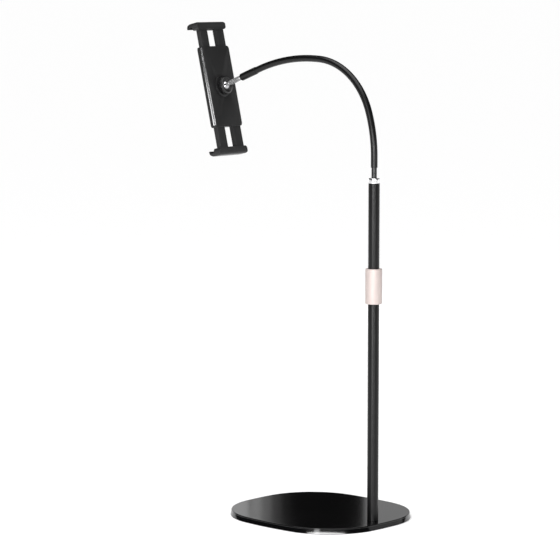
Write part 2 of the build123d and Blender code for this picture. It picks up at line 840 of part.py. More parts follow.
# Back shell: a tray that the arms slide in
trim_top = cover_face - trim_drop
trim_bottom = trim_top - trim_height
trim_length = holder_length - (trim_end_margin + holder_corner) * 2
upper_slot_middle = (upper_bar_inner + arm_outer) / 2
lower_slot_middle = (lower_bar_inner + arm_outer) / 2
with BuildPart() as back_shell:
    with BuildSketch(holder.offset(shell_back)):
        RectangleRounded(holder_width, holder_length, holder_corner)
    extrude(amount=cover_back - shell_back)
    fillet(back_shell.faces().sort_by(holder_axis)[0].edges(), radius=holder_edge_round)
    with BuildSketch(holder.offset(floor_top)):
        Rectangle(pocket_half * 2, holder_length - shell_end_wall * 2)
        with Locations(*pillar_places):
            Circle(pillar_radius, mode=Mode.SUBTRACT)
        Circle(pin_boss_radius, mode=Mode.SUBTRACT)
    extrude(amount=cover_back - floor_top, mode=Mode.SUBTRACT)
    with BuildSketch(holder.offset(pin_boss_top)):
        Circle(pin_boss_radius + seat_gap)
    extrude(amount=cover_back - pin_boss_top, mode=Mode.SUBTRACT)
    with BuildSketch(holder.offset(cover_boss_bottom - seat_gap)):
        with Locations(*pillar_places):
            Circle(pillar_radius + seat_gap)
    extrude(amount=cover_boss_height + seat_gap, mode=Mode.SUBTRACT)
    with BuildSketch(holder.offset(floor_top)):
        with Locations((upper_slot_middle, holder_end), (-upper_slot_middle, holder_end)):
            Rectangle(upper_bar_width + slide_gap * 2, shell_end_wall * 4)
        with Locations((lower_slot_middle, -holder_end), (-lower_slot_middle, -holder_end)):
            Rectangle(lower_bar_width + slide_gap * 2, shell_end_wall * 4)
    extrude(amount=cover_back - floor_top, mode=Mode.SUBTRACT)
    with BuildSketch(holder.offset(trim_bottom)):
        with Locations((holder_half, 0), (-holder_half, 0)):
            Rectangle(trim_sink * 2, trim_length)
    extrude(amount=cover_back - trim_bottom, mode=Mode.SUBTRACT)
    with BuildSketch(holder.offset(shell_back)):
        with Locations(*pillar_places):
            Circle(housing_screw_head_radius + seat_gap)
    extrude(amount=screw_seat - shell_back, mode=Mode.SUBTRACT)
    with BuildSketch(holder.offset(shell_back)):
        with Locations(*pillar_places):
            Circle(housing_screw_radius + running_fit)
    extrude(amount=cover_back - shell_back, mode=Mode.SUBTRACT)
    with BuildSketch(holder.offset(shell_back + shell_floor / 2)):
        Circle(pin_radius + running_fit)
    extrude(amount=shell_floor, mode=Mode.SUBTRACT)
back_shell.part.label = "back_shell"
export_step(back_shell.part, "parts/back_shell.step")

with BuildPart() as housing_screws:
    with BuildSketch(holder.offset(screw_seat - housing_screw_head_height)):
        with Locations(*pillar_places):
            Circle(housing_screw_head_radius)
    extrude(amount=housing_screw_head_height)
    with BuildSketch(holder.offset(screw_seat)):
        with Locations(*pillar_places):
            Circle(housing_screw_radius)
    extrude(amount=screw_bite - screw_seat)
housing_screws.part.label = "housing_screws"
export_step(housing_screws.part, "parts/housing_screws.step")

# Soft pad on the side that the tablet lies on
with BuildPart() as back_pad:
    with BuildSketch(holder.offset(holder_back)):
        RectangleRounded(
            holder_width - back_pad_margin * 2, holder_length - back_pad_margin * 2, holder_corner
        )
    extrude(amount=back_pad_thickness)
    chamfer(back_pad.faces().sort_by(holder_axis)[0].edges(), length=back_pad_thickness / 3)
back_pad.part.label = "back_pad"
export_step(back_pad.part, "parts/back_pad.step")

# Bright ribbed trim strips along both sides
trim_ribs = int((trim_length - trim_rib_inset * 2) / trim_rib_pitch)
for side, trim_name in ((1, "trim_right"), (-1, "trim_left")):
    trim_middle = side * (holder_half - trim_sink + trim_thickness / 2)
    trim_skin = side * (holder_half - trim_sink + trim_thickness)
    with BuildPart() as trim_strip:
        with BuildSketch(holder.offset(trim_bottom)):
            with Locations((trim_middle, 0)):
                Rectangle(trim_thickness, trim_length)
        extrude(amount=trim_height)
        with BuildSketch(holder.offset(trim_bottom + trim_rib_inset)):
            with Locations((trim_skin, 0)):
                with GridLocations(0, trim_rib_pitch, 1, trim_ribs):
                    Rectangle(trim_rib_depth * 2, trim_rib_pitch - trim_rib_width)
        extrude(amount=trim_height - trim_rib_inset * 2, mode=Mode.SUBTRACT)
    trim_strip.part.label = trim_name
    export_step(trim_strip.part, f"parts/{trim_name}.step")

# Pinion: involute teeth worked out from the module
pitch_radius = gear_module * pinion_teeth / 2
tooth_pitch = pi * gear_module
base_circle = pitch_radius * cos(radians(pressure_angle))
pinion_root = pitch_radius - rack_addendum - gear_root_gap
pinion_tip = pitch_radius + pinion_addendum
tooth_width = tooth_pitch / 2 - gear_backlash


def flank_point(radius, side):
    """A point of a tooth's involute flank, for the tooth that points along x."""
    roll = acos(min(1, base_circle / radius))
    pitch_roll = radians(pressure_angle)
    half = tooth_width / (pitch_radius * 2) + (tan(pitch_roll) - pitch_roll) - (tan(roll) - roll)
    return (radius * cos(half), side * radius * sin(half))


flank_steps = 4
flank_radii = [
    base_circle + (pinion_tip - base_circle) * step / flank_steps for step in range(flank_steps + 1)
]
root_half = flank_point(base_circle, 1)[1] / base_circle * pinion_root
with BuildPart() as pinion:
    with BuildSketch(holder.offset(gear_back)):
        Circle(pinion_root)
        with PolarLocations(0, pinion_teeth):
            with BuildLine():
                Polyline(
                    (pinion_root / 2, -root_half),
                    *[flank_point(r, -1) for r in flank_radii],
                    *[flank_point(r, 1) for r in reversed(flank_radii)],
                    (pinion_root / 2, root_half),
                    close=True,
                )
            make_face()
        Circle(pin_radius + running_fit, mode=Mode.SUBTRACT)
    extrude(amount=pinion_thickness)
pinion.part.label = "pinion"
export_step(pinion.part, "parts/pinion.step")

with BuildPart() as pinion_pin:
    with BuildSketch(holder.offset(shell_back + shell_floor / 2)):
        Circle(pin_radius)
    extrude(amount=gear_face - shell_back - shell_floor / 2 + seat_gap)
pinion_pin.part.label = "pinion_pin"
export_step(pinion_pin.part, "parts/pinion_pin.step")

# Dished washer that presses on the pinion, so the jaws stay where they are put
dish_bottom = pin_boss_top
with BuildPart() as friction_washer:
    with BuildSketch(turned):
        with BuildLine():
            Polyline(
                (pin_radius + seat_gap, dish_bottom + washer_rise),
                (washer_radius, dish_bottom),
                (washer_radius, dish_bottom + washer_thickness),
                (pin_radius + seat_gap, dish_bottom + washer_rise + washer_thickness),
                close=True,
            )
        make_face()
    revolve(axis=holder_axis)
friction_washer.part.label = "friction_washer"
export_step(friction_washer.part, "parts/friction_washer.step")

jaw_back_face = arm_face + jaw_back_proud
jaw_block_face = jaw_back_face - jaw_block_depth
jaw_lip_face = jaw_block_face - jaw_throat
jaw_front = jaw_lip_face - jaw_lip_thickness
upper_reach = tablet_opening / 2 - jaw_offset
lower_reach = tablet_opening / 2 + jaw_offset
rack_root = pitch_radius + pinion_addendum + gear_root_gap
rack_tip = pitch_radius - rack_addendum
rack_slope = tan(radians(pressure_angle))
rack_half = tooth_width / 2


def rack_tooth(side):
    """One rack tooth that points at the pinion's axis from the given side."""
    tip_half = rack_half - rack_addendum * rack_slope
    root_half_width = rack_half + (rack_root - pitch_radius) * rack_slope
    with BuildSketch() as tooth:
        with BuildLine():
            Polyline(
                (side * (rack_root + gear_root_gap), -root_half_width),
                (side * rack_root, -root_half_width),
                (side * rack_tip, -tip_half),
                (side * rack_tip, tip_half),
                (side * rack_root, root_half_width),
                (side * (rack_root + gear_root_gap), root_half_width),
                close=True,
            )
        make_face()
    return tooth.sketch


rack_teeth = int((rack_run_past + arm_tail) / tooth_pitch)
# Upper arm with its rack on the +x side, lower arm with its rack on the -x side
for way, arm_name, bar_inner, bar_width, reach in (
    (1, "upper_arm", upper_bar_inner, upper_bar_width, upper_reach),
    (-1, "lower_arm", lower_bar_inner, lower_bar_width, lower_reach),
):
    arm_end = reach + jaw_pad_thickness - slide_gap * 4
    crossbar_inner = arm_end - arm_crossbar
    bar_middle = bar_inner + bar_width / 2
    bar_length = arm_end - arm_tail
    bar_place = way * (arm_end + arm_tail) / 2
    one_tooth = rack_tooth(way)
    with BuildPart() as arm:
        with BuildSketch(holder.offset(arm_back)):
            with Locations((bar_middle, bar_place), (-bar_middle, bar_place)):
                Rectangle(bar_width, bar_length)
        extrude(amount=arm_depth)
        long_edges = arm.edges().filter_by(Axis(tuple(ball_centre), tuple(holder_up)))
        chamfer(long_edges.group_by(holder_axis)[-1], length=arm_chamfer)
        with BuildSketch(holder.offset(arm_back)):
            with Locations((0, way * (crossbar_inner + arm_end) / 2)):
                Rectangle(bar_inner * 2 + arm_chamfer * 4, arm_crossbar)
        extrude(amount=arm_depth)
        with BuildSketch(holder.offset(gear_back)):
            rack_middle = way * (arm_tail + rack_link - rack_run_past) / 2
            with Locations((way * (rack_root + rack_back) / 2, rack_middle)):
                Rectangle(rack_back - rack_root, arm_tail + rack_link + rack_run_past)
            with Locations((way * (rack_root + bar_inner) / 2, way * (arm_tail + rack_link / 2))):
                Rectangle(bar_inner - rack_root + arm_chamfer * 2, rack_link)
            for tooth in range(rack_teeth):
                place = (tooth + 1 / 2 - rack_run_past // tooth_pitch) * tooth_pitch
                with Locations((0, way * place)):
                    add(one_tooth)
        extrude(amount=pinion_thickness)
        with BuildSketch(holder.offset(arm_back)):
            with Locations(
                (jaw_screw_place, way * (crossbar_inner + arm_end) / 2),
                (-jaw_screw_place, way * (crossbar_inner + arm_end) / 2),
            ):
                Circle(housing_screw_radius + running_fit)
        extrude(amount=arm_depth - arm_chamfer, mode=Mode.SUBTRACT)
    arm.part.label = arm_name
    export_step(arm.part, f"parts/{arm_name}.step")

# Hooked jaws, each a rounded block with a pocket for its arm and a lip over the tablet's front
for way, jaw_name, reach in ((1, "upper_jaw", upper_reach), (-1, "lower_jaw", lower_reach)):
    jaw_inner = reach + jaw_pad_thickness
    jaw_outer = jaw_inner + jaw_wall
    jaw_edge = jaw_inner - jaw_pocket_length
    jaw_lip_tip = jaw_inner - jaw_lip_length
    arm_end = jaw_inner - slide_gap * 4
    crossbar_inner = arm_end - arm_crossbar
    screw_row = way * (crossbar_inner + arm_end) / 2
    with BuildPart() as jaw:
        with BuildSketch(jaw_side) as hook:
            with BuildLine():
                Polyline(
                    (way * jaw_edge, jaw_back_face),
                    (way * jaw_outer, jaw_back_face),
                    (way * jaw_outer, jaw_front),
                    (way * jaw_lip_tip, jaw_front),
                    (way * jaw_lip_tip, jaw_lip_face),
                    (way * jaw_inner, jaw_lip_face),
                    (way * jaw_inner, jaw_block_face),
                    (way * jaw_edge, jaw_block_face),
                    close=True,
                )
            make_face()
            corners = hook.vertices().group_by(Axis.X)[-1 if way > 0 else 0].sort_by(Axis.Y)
            fillet(corners[-1], radius=jaw_edge_round)
            corners = hook.vertices().group_by(Axis.X)[-1 if way > 0 else 0].sort_by(Axis.Y)
            fillet(corners[0], radius=jaw_nose_round)
        extrude(amount=jaw_half_width, both=True)
        with BuildSketch(holder.offset(jaw_front - overrun)):
            with Locations((0, way * (jaw_edge + jaw_outer) / 2)):
                RectangleRounded(jaw_half_width * 2, jaw_outer - jaw_edge, jaw_corner)
        extrude(amount=jaw_back_face - jaw_front + overrun * 2, mode=Mode.INTERSECT)
        with BuildSketch(holder.offset(arm_back - running_fit)):
            with Locations((0, way * (jaw_edge - overrun + arm_end + seat_gap) / 2)):
                Rectangle((arm_outer + seat_gap) * 2, arm_end + seat_gap - jaw_edge + overrun)
        extrude(amount=arm_depth + running_fit * 2, mode=Mode.SUBTRACT)
        with BuildSketch(holder.offset(jaw_block_face)):
            with Locations((jaw_screw_place, screw_row), (-jaw_screw_place, screw_row)):
                Circle(housing_screw_head_radius + seat_gap)
        extrude(amount=housing_screw_head_height + seat_gap, mode=Mode.SUBTRACT)
        with BuildSketch(holder.offset(jaw_block_face)):
            with Locations((jaw_screw_place, screw_row), (-jaw_screw_place, screw_row)):
                Circle(housing_screw_radius + running_fit)
        extrude(amount=arm_back - jaw_block_face, mode=Mode.SUBTRACT)
    jaw.part.label = jaw_name
    export_step(jaw.part, f"parts/{jaw_name}.step")
    with BuildPart() as jaw_pad:
        with BuildSketch(jaw_side):
            with BuildLine():
                Polyline(
                    (way * jaw_inner, jaw_block_face),
                    (way * jaw_inner, jaw_lip_face),
                    (way * (jaw_lip_tip + jaw_small_round), jaw_lip_face),
                    (way * (jaw_lip_tip + jaw_small_round), jaw_lip_face + jaw_lip_pad),
                    (way * reach, jaw_lip_face + jaw_lip_pad),
                    (way * reach, jaw_block_face),
                    close=True,
                )
            make_face()
        extrude(amount=jaw_half_width - jaw_pad_inset, both=True)
    jaw_pad.part.label = f"{jaw_name}_pad"
    export_step(jaw_pad.part, f"parts/{jaw_name}_pad.step")
    with BuildPart() as jaw_screws:
        with BuildSketch(holder.offset(jaw_block_face + seat_gap)):
            with Locations((jaw_screw_place, screw_row), (-jaw_screw_place, screw_row)):
                Circle(housing_screw_head_radius)
        extrude(amount=housing_screw_head_height)
        with BuildSketch(holder.offset(jaw_block_face + seat_gap + housing_screw_head_height)):
            with Locations((jaw_screw_place, screw_row), (-jaw_screw_place, screw_row)):
                Circle(housing_screw_radius)
        extrude(amount=jaw_screw_depth - housing_screw_head_height)
    jaw_screws.part.label = f"{jaw_name}_screws"
    export_step(jaw_screws.part, f"parts/{jaw_name}_screws.step")
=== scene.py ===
from math import cos, pi, radians, sin, sqrt, tan

import bmesh
import bpy
from mathutils import Matrix, Vector


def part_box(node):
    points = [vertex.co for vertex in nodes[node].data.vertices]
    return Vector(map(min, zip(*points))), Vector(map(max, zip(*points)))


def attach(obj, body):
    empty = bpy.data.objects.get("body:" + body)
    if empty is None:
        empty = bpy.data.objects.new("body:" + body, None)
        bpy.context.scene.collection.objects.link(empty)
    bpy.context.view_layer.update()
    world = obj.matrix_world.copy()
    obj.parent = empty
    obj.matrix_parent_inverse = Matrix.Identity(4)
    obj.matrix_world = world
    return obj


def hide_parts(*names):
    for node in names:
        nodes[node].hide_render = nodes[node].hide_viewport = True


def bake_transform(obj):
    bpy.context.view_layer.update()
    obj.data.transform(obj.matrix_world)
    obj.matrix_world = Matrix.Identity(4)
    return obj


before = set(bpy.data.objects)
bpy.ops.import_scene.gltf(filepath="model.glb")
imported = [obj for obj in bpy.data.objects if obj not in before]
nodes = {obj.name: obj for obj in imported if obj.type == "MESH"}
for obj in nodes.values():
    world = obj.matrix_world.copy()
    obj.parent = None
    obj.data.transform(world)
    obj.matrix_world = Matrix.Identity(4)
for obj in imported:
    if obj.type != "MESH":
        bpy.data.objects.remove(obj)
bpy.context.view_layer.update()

MM = 0.001
UP = Vector((0, 0, 1))


def millimetres(*lengths):
    """Lengths given in millimetres, as a list in metres."""
    return [length * MM for length in lengths]


# ---- Shader maths ----

MIXED_COLOUR = 2


class Socket:
    """A shader output that adds Math nodes when it is added, subtracted or multiplied."""

    def __init__(self, finish, link):
        self.finish = finish
        self.link = link

    def maths(self, operation, first, second):
        return self.finish.node("ShaderNodeMath", {"operation": operation}, {0: first, 1: second})

    def __add__(self, other):
        return self.maths("ADD", self, other)

    def __radd__(self, other):
        return self.maths("ADD", other, self)

    def __sub__(self, other):
        return self.maths("SUBTRACT", self, other)

    def __rsub__(self, other):
        return self.maths("SUBTRACT", other, self)

    def __mul__(self, other):
        return self.maths("MULTIPLY", self, other)

    def __rmul__(self, other):
        return self.maths("MULTIPLY", other, self)


class Finish:
    """A node tree that is filled one node at a time."""

    def __init__(self, tree):
        self.tree = tree
        tree.nodes.clear()

    def node(self, kind, settings=None, inputs=None, out=0):
        made = self.tree.nodes.new(kind)
        for key, value in (settings or {}).items():
            setattr(made, key, value)
        for key, value in (inputs or {}).items():
            if isinstance(value, Socket):
                self.tree.links.new(value.link, made.inputs[key])
            elif isinstance(value, (tuple, list)) and made.inputs[key].type == "RGBA":
                made.inputs[key].default_value = (*value[:3], 1)
            else:
                made.inputs[key].default_value = value
        return Socket(self, made.outputs[out]) if made.outputs else None

    def mix(self, share, first, second):
        return self.node(
            "ShaderNodeMix",
            {"data_type": "RGBA"},
            {"Factor": share, "A": first, "B": second},
            out=MIXED_COLOUR,
        )

    def noise(self, place, scale, detail=3.0, roughness=0.5):
        return self.node(
            "ShaderNodeTexNoise",
            {},
            {"Vector": place, "Scale": scale, "Detail": detail, "Roughness": roughness},
        )

    def stretched(self, place, scales):
        return self.node("ShaderNodeMapping", {}, {"Vector": place, "Scale": scales})


QUARTER_TURN = 0.25
SMUDGE_BAND = (0.52, 0.75)
SMUDGE_SIZE = 3
WORN_BAND = (0.54, 0.62)
WORN_SCALE = 900.0
WORN_ROUGHER = 0.2


def band(made, value, limits, most):
    """Nothing below a band of values, the most above it, and a ramp between."""
    low, high = limits
    return made.node(
        "ShaderNodeMapRange",
        {},
        {"Value": value, "From Min": low, "From Max": high, "To Min": 0.0, "To Max": most},
    )


def toned(colour, share):
    """A colour with each channel taken to a share of itself."""
    return tuple(channel * share for channel in colour[:3])


def surface(
    name,
    colour,
    rough,
    metal=0.0,
    tone=0.15,
    tone_scale=60.0,
    rough_spread=0.08,
    grain=0.0,
    grain_scale=2500.0,
    grain_depth=0.00005,
    stretch=None,
    smudge=0.0,
    specular=0.5,
    drawn=0.0,
    wear=0.0,
    wear_colour=(0.3, 0.3, 0.3),
):
    """One finish: colour that drifts, roughness with smudges, fine grain and worn edges."""
    material = bpy.data.materials.new(name)
    material.use_nodes = True
    made = Finish(material.node_tree)
    place = made.node("ShaderNodeTexCoord", out="Object")
    fine = made.stretched(place, stretch) if stretch else place
    drift = made.noise(place, tone_scale)
    streak = made.noise(fine, grain_scale, detail=4.0, roughness=0.6)
    shade = made.mix(drift, toned(colour, 1 - tone), toned(colour, 1 + tone))
    roughness = rough + (drift - 0.5) * rough_spread + (streak - 0.5) * rough_spread
    if smudge:
        spots = made.noise(place, tone_scale / SMUDGE_SIZE, detail=6.0, roughness=0.7)
        roughness = roughness + band(made, spots, SMUDGE_BAND, smudge)
    if wear:
        edge = made.node("ShaderNodeNewGeometry", out="Pointiness")
        rubbed = band(made, edge, WORN_BAND, wear)
        broken = made.noise(place, WORN_SCALE, detail=5.0, roughness=0.7)
        worn = rubbed * broken
        shade = made.mix(worn, shade, wear_colour)
        roughness = roughness + worn * WORN_ROUGHER
    inputs = {
        "Base Color": shade,
        "Roughness": roughness,
        "Metallic": metal,
        "Specular IOR Level": specular,
        "Anisotropic": drawn,
        "Anisotropic Rotation": QUARTER_TURN,
    }
    if grain:
        inputs["Normal"] = made.node(
            "ShaderNodeBump",
            {},
            {"Strength": grain, "Distance": grain_depth, "Height": streak},
        )
    body = made.node("ShaderNodeBsdfPrincipled", {}, inputs)
    made.node("ShaderNodeOutputMaterial", {}, {"Surface": body})
    return material


BLACK = (0.0024, 0.0024, 0.0026)
base_lacquer = surface(
    "base_gloss_black", BLACK, 0.09, tone_scale=9.0, rough_spread=0.015, smudge=0.03
)
tube_lacquer = surface(
    "tube_gloss_black",
    BLACK,
    0.32,
    tone_scale=14.0,
    rough_spread=0.05,
    smudge=0.05,
    specular=0.36,
    drawn=0.88,
)
rose_satin = surface(
    "rose_satin_aluminium",
    (0.6, 0.515, 0.49),
    0.55,
    metal=0.35,
    tone=0.04,
    grain=0.25,
    grain_scale=900.0,
    stretch=(1, 1, 0.06),
    grain_depth=0.00003,
)
chrome = surface(
    "polished_chrome", (0.78, 0.78, 0.79), 0.1, metal=1.0, tone=0.02, rough_spread=0.04
)
stem_nickel = surface(
    "stem_bright_nickel",
    (0.84, 0.84, 0.85),
    0.2,
    metal=0.76,
    tone=0.04,
    rough_spread=0.06,
    grain=0.1,
    grain_scale=1600.0,
)
ball_steel = surface(
    "ball_smoked_steel", (0.5, 0.5, 0.51), 0.15, metal=1.0, tone=0.03, rough_spread=0.04
)
sleeve_rubber = surface(
    "neck_sleeve_rubber",
    (0.004, 0.004, 0.0042),
    0.3,
    tone=0.2,
    tone_scale=80.0,
    grain=0.2,
    grain_scale=2600.0,
    smudge=0.08,
    specular=0.3,
)
holder_plastic = surface(
    "holder_moulded_plastic",
    (0.0125, 0.0125, 0.0128),
    0.42,
    tone=0.12,
    grain=0.35,
    grain_scale=3200.0,
    grain_depth=0.00004,
    smudge=0.08,
    specular=0.3,
    wear=0.25,
    wear_colour=(0.07, 0.07, 0.07),
)
arm_plastic = surface(
    "arm_moulded_plastic",
    (0.014, 0.014, 0.0145),
    0.38,
    tone=0.12,
    grain=0.3,
    grain_scale=2800.0,
    stretch=(1, 1, 0.25),
    smudge=0.1,
    specular=0.25,
    wear=0.2,
    wear_colour=(0.09, 0.09, 0.09),
)
jaw_plastic = surface(
    "jaw_moulded_plastic",
    (0.015, 0.015, 0.0155),
    0.34,
    tone=0.12,
    grain=0.3,
    grain_scale=3000.0,
    smudge=0.1,
    specular=0.25,
    wear=0.25,
    wear_colour=(0.09, 0.09, 0.09),
)
nut_plastic = surface(
    "nut_moulded_plastic",
    (0.006, 0.006, 0.0063),
    0.34,
    tone=0.12,
    grain=0.25,
    grain_scale=3000.0,
    wear=0.2,
)
# Dark grey plastic: the grip ring's own colour, and on the nut's face ring a painted highlight
# standing in for the shine of a polished chamfer.
grey_plastic_and_painted_highlight = surface("ring_grey_plastic_and_painted_highlight", (0.07, 0.07, 0.072), 0.34, tone=0.1, grain=0.2)
trim_metal = surface(
    "trim_bright_aluminium",
    (0.82, 0.82, 0.83),
    0.26,
    metal=1.0,
    tone=0.05,
    grain=0.15,
    grain_scale=1500.0,
)
trim_shade = surface(
    "trim_dark_channel", (0.05, 0.05, 0.052), 0.45, metal=0.6, grain=0.3, grain_scale=1500.0
)
pad_rubber = surface(
    "pad_soft_rubber",
    (0.022, 0.022, 0.023),
    0.72,
    tone=0.2,
    grain=0.6,
    grain_scale=1800.0,
    grain_depth=0.0001,
)
floor_pad = surface(
    "floor_pad_foam",
    (0.025, 0.025, 0.026),
    0.85,
    tone=0.25,
    grain=0.8,
    grain_scale=1300.0,
    grain_depth=0.00015,
)
steel = surface("zinc_plated_steel", (0.55, 0.55, 0.56), 0.3, metal=1.0, tone=0.1, grain=0.2)
drawn_steel = surface(
    "drawn_steel_tube",
    (0.5, 0.5, 0.51),
    0.24,
    metal=1.0,
    tone=0.06,
    grain=0.2,
    grain_scale=900.0,
    stretch=(1, 1, 0.04),
)
core_steel = surface("neck_core_steel", (0.4, 0.4, 0.41), 0.35, metal=1.0, tone=0.1, grain=0.3)
plate_steel = surface(
    "weight_plate_black", (0.03, 0.03, 0.031), 0.5, tone=0.2, grain=0.5, grain_scale=900.0
)
nylon = surface("pale_nylon", (0.68, 0.66, 0.61), 0.45, tone=0.05, grain=0.15)
brass = surface("pinion_brass", (0.66, 0.5, 0.26), 0.28, metal=1.0, tone=0.08, grain=0.15)
black_metal = surface("spigot_black_metal", BLACK, 0.28, tone=0.2, rough_spread=0.06)

NODE_FINISHES = {
    "base_pad": floor_pad,
    "weight_plate": plate_steel,
    "base_cover": base_lacquer,
    "lower_tube": tube_lacquer,
    "upper_tube": tube_lacquer,
    "lock_collar": rose_satin,
    "collar_collet": nylon,
    "tube_glide": nylon,
    "ball_seat": nylon,
    "inner_tube": drawn_steel,
    "top_ring": chrome,
    "ball_stem": stem_nickel,
    "neck_socket": black_metal,
    "head_sleeve": sleeve_rubber,
    "ball_socket": holder_plastic,
    "cover_plate": holder_plastic,
    "back_shell": holder_plastic,
    "grip_ring": grey_plastic_and_painted_highlight,
    "lock_nut": nut_plastic,
    "trim_left": trim_metal,
    "trim_right": trim_metal,
    "upper_arm": arm_plastic,
    "lower_arm": arm_plastic,
    "upper_jaw": jaw_plastic,
    "lower_jaw": jaw_plastic,
    "upper_jaw_pad": pad_rubber,
    "lower_jaw_pad": pad_rubber,
    "back_pad": pad_rubber,
    "pinion": brass,
}
for name, node in nodes.items():
    if name.startswith("neck_sleeve"):
        finish = sleeve_rubber
    elif name.startswith("neck_core"):
        finish = core_steel
    else:
        finish = NODE_FINISHES.get(name, steel)
    for slot in node.material_slots:
        slot.material = finish


# ---- Mesh tools ----

SHARP_ANGLE = radians(35)
TURNED_SIDES = 96
CORNER_STEPS = 5
SMALLEST = 1e-6


def finished(name, mesh, material, body, replaced=(), place=None, ride=True):
    """Turn a bmesh into a piece: smooth but for its sharp edges, in place and on its body."""
    bmesh.ops.recalc_face_normals(mesh, faces=mesh.faces)
    for face in mesh.faces:
        face.smooth = True
    for edge in mesh.edges:
        edge.smooth = len(edge.link_faces) == 2 and edge.calc_face_angle(0) < SHARP_ANGLE
    if place is not None:
        mesh.transform(place)
    data = bpy.data.meshes.new(name)
    mesh.to_mesh(data)
    mesh.free()
    piece = bpy.data.objects.new(name, data)
    bpy.context.scene.collection.objects.link(piece)
    piece.data.materials.append(material)
    if ride:
        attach(piece, body)
    if replaced:
        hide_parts(*replaced)
    return piece


def turned(profile, steps=TURNED_SIDES, wave=None):
    """Spin a closed profile of (radius, height) pairs about Z, with a wave on its radius."""
    mesh = bmesh.new()
    rings = []
    for radius, height in profile:
        if radius == 0:
            rings.append([mesh.verts.new((0, 0, height))])
            continue
        ring = []
        for step in range(steps):
            angle = 2 * pi * step / steps
            reach = wave(radius, height, angle) if wave else radius
            ring.append(mesh.verts.new((reach * cos(angle), reach * sin(angle), height)))
        rings.append(ring)
    count = len(rings)
    for index in range(count):
        lower, upper = rings[index], rings[(index + 1) % count]
        if len(lower) == 1 and len(upper) == 1:
            continue
        for step in range(steps):
            after = (step + 1) % steps
            if len(lower) == 1:
                mesh.faces.new((lower[0], upper[after], upper[step]))
            elif len(upper) == 1:
                mesh.faces.new((lower[step], lower[after], upper[0]))
            else:
                mesh.faces.new((lower[step], lower[after], upper[after], upper[step]))
    return mesh


def rounded_run(start, corner, end, radius):
    """Points that round a corner between two straight runs of a profile."""
    start, corner, end = Vector(start), Vector(corner), Vector(end)
    back = (start - corner).normalized()
    ahead = (end - corner).normalized()
    half = back.angle(ahead) / 2
    reach = radius / max(sin(half) / cos(half), SMALLEST)
    centre = corner + (back + ahead).normalized() * radius / sin(half)
    first = corner + back * reach - centre
    last = corner + ahead * reach - centre
    turn = first.angle_signed(last)
    turns = [
        Matrix.Rotation(-turn * step / CORNER_STEPS, 2) for step in range(CORNER_STEPS + 1)
    ]
    return [tuple(centre + rotation @ first) for rotation in turns]


def softened(points, radii):
    """A closed profile with its corners rounded by one radius, or each by its own."""
    result = []
    count = len(points)
    for index, point in enumerate(points):
        radius = radii[index] if isinstance(radii, (list, tuple)) else radii
        if radius:
            result += rounded_run(points[index - 1], point, points[(index + 1) % count], radius)
        else:
            result.append(tuple(point))
    return result


def axis_place(origin, way):
    """The matrix that takes Z to a direction from a point."""
    turn = UP.rotation_difference(Vector(way))
    return Matrix.Translation(origin) @ turn.to_matrix().to_4x4()


# ---- Base ----

base_low, base_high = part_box("base_cover")
half_length = (base_high.x - base_low.x) / 2
half_width = (base_high.y - base_low.y) / 2
SIDE_RADIUS = 600 * MM
CORNER_RADIUS = 108 * MM
COVER_WALL = 1.5 * MM
FOOT_EDGE = 0.5 * MM
TOP_EDGE = 0.8 * MM
TOP_EDGE_STEPS = 6
SIDE_LEAN = radians(13)
TOP_RINGS = millimetres(2, 8, 20, 40, 60)
BASE_STEPS = 20


def base_ring(inset, steps=BASE_STEPS):
    """Points around the base's outline, drawn in by an inset."""
    end_centre = Vector((half_length - SIDE_RADIUS, 0))
    flank_centre = Vector((0, half_width - SIDE_RADIUS))
    between = flank_centre - end_centre
    reach = SIDE_RADIUS - CORNER_RADIUS
    rise = sqrt(reach**2 - (between.length / 2) ** 2)
    across = Vector((-between.y, between.x)).normalized()
    if across.x < 0:
        across = -across
    corner = (end_centre + flank_centre) / 2 + across * rise
    end_way = (corner - end_centre).normalized()
    flank_way = (corner - flank_centre).normalized()
    quarter = []
    limit = end_way.angle_signed(Vector((1, 0)))
    for step in range(steps):
        way = Matrix.Rotation(limit * step / steps, 2) @ Vector((1, 0))
        quarter.append(end_centre + way * (SIDE_RADIUS - inset))
    turn = flank_way.angle_signed(end_way)
    for step in range(steps * 2):
        way = Matrix.Rotation(turn * step / (steps * 2), 2) @ end_way
        quarter.append(corner + way * (CORNER_RADIUS - inset))
    rest = Vector((0, 1)).angle_signed(flank_way)
    for step in range(steps):
        way = Matrix.Rotation(rest * step / steps, 2) @ flank_way
        quarter.append(flank_centre + way * (SIDE_RADIUS - inset))
    ring = list(quarter)
    ring.append(Vector((0, half_width - inset)))
    ring += [Vector((-p.x, p.y)) for p in reversed(quarter[1:])]
    ring.append(Vector((-(half_length - inset), 0)))
    ring += [Vector((-p.x, -p.y)) for p in quarter[1:]]
    ring.append(Vector((0, -(half_width - inset))))
    ring += [Vector((p.x, -p.y)) for p in reversed(quarter[1:])]
    return ring


base_top = base_high.z
base_foot = base_low.z
shell_profile = [(COVER_WALL, base_foot), (FOOT_EDGE, base_foot), (0.0, base_foot + FOOT_EDGE)]
side_rise = base_top - base_foot - FOOT_EDGE - TOP_EDGE * (1 - sin(SIDE_LEAN))
lean_inset = side_rise * tan(SIDE_LEAN)
for step in range(TOP_EDGE_STEPS + 1):
    angle = SIDE_LEAN + (pi / 2 - SIDE_LEAN) * step / TOP_EDGE_STEPS
    inset = lean_inset + TOP_EDGE * (cos(SIDE_LEAN) - cos(angle))
    shell_profile.append((inset, base_top - TOP_EDGE * (1 - sin(angle))))
shell_rim = shell_profile[-1][0]
shell_profile += [(shell_rim + further, base_top) for further in TOP_RINGS]
base_mesh = bmesh.new()
base_rings = []
for inset, height in [(COVER_WALL, base_top - COVER_WALL)] + shell_profile:
    base_rings.append([base_mesh.verts.new((p.x, p.y, height)) for p in base_ring(inset)])
for lower, upper in zip(base_rings, base_rings[1:]):
    for index in range(len(lower)):
        after = (index + 1) % len(lower)
        base_mesh.faces.new((lower[index], lower[after], upper[after], upper[index]))
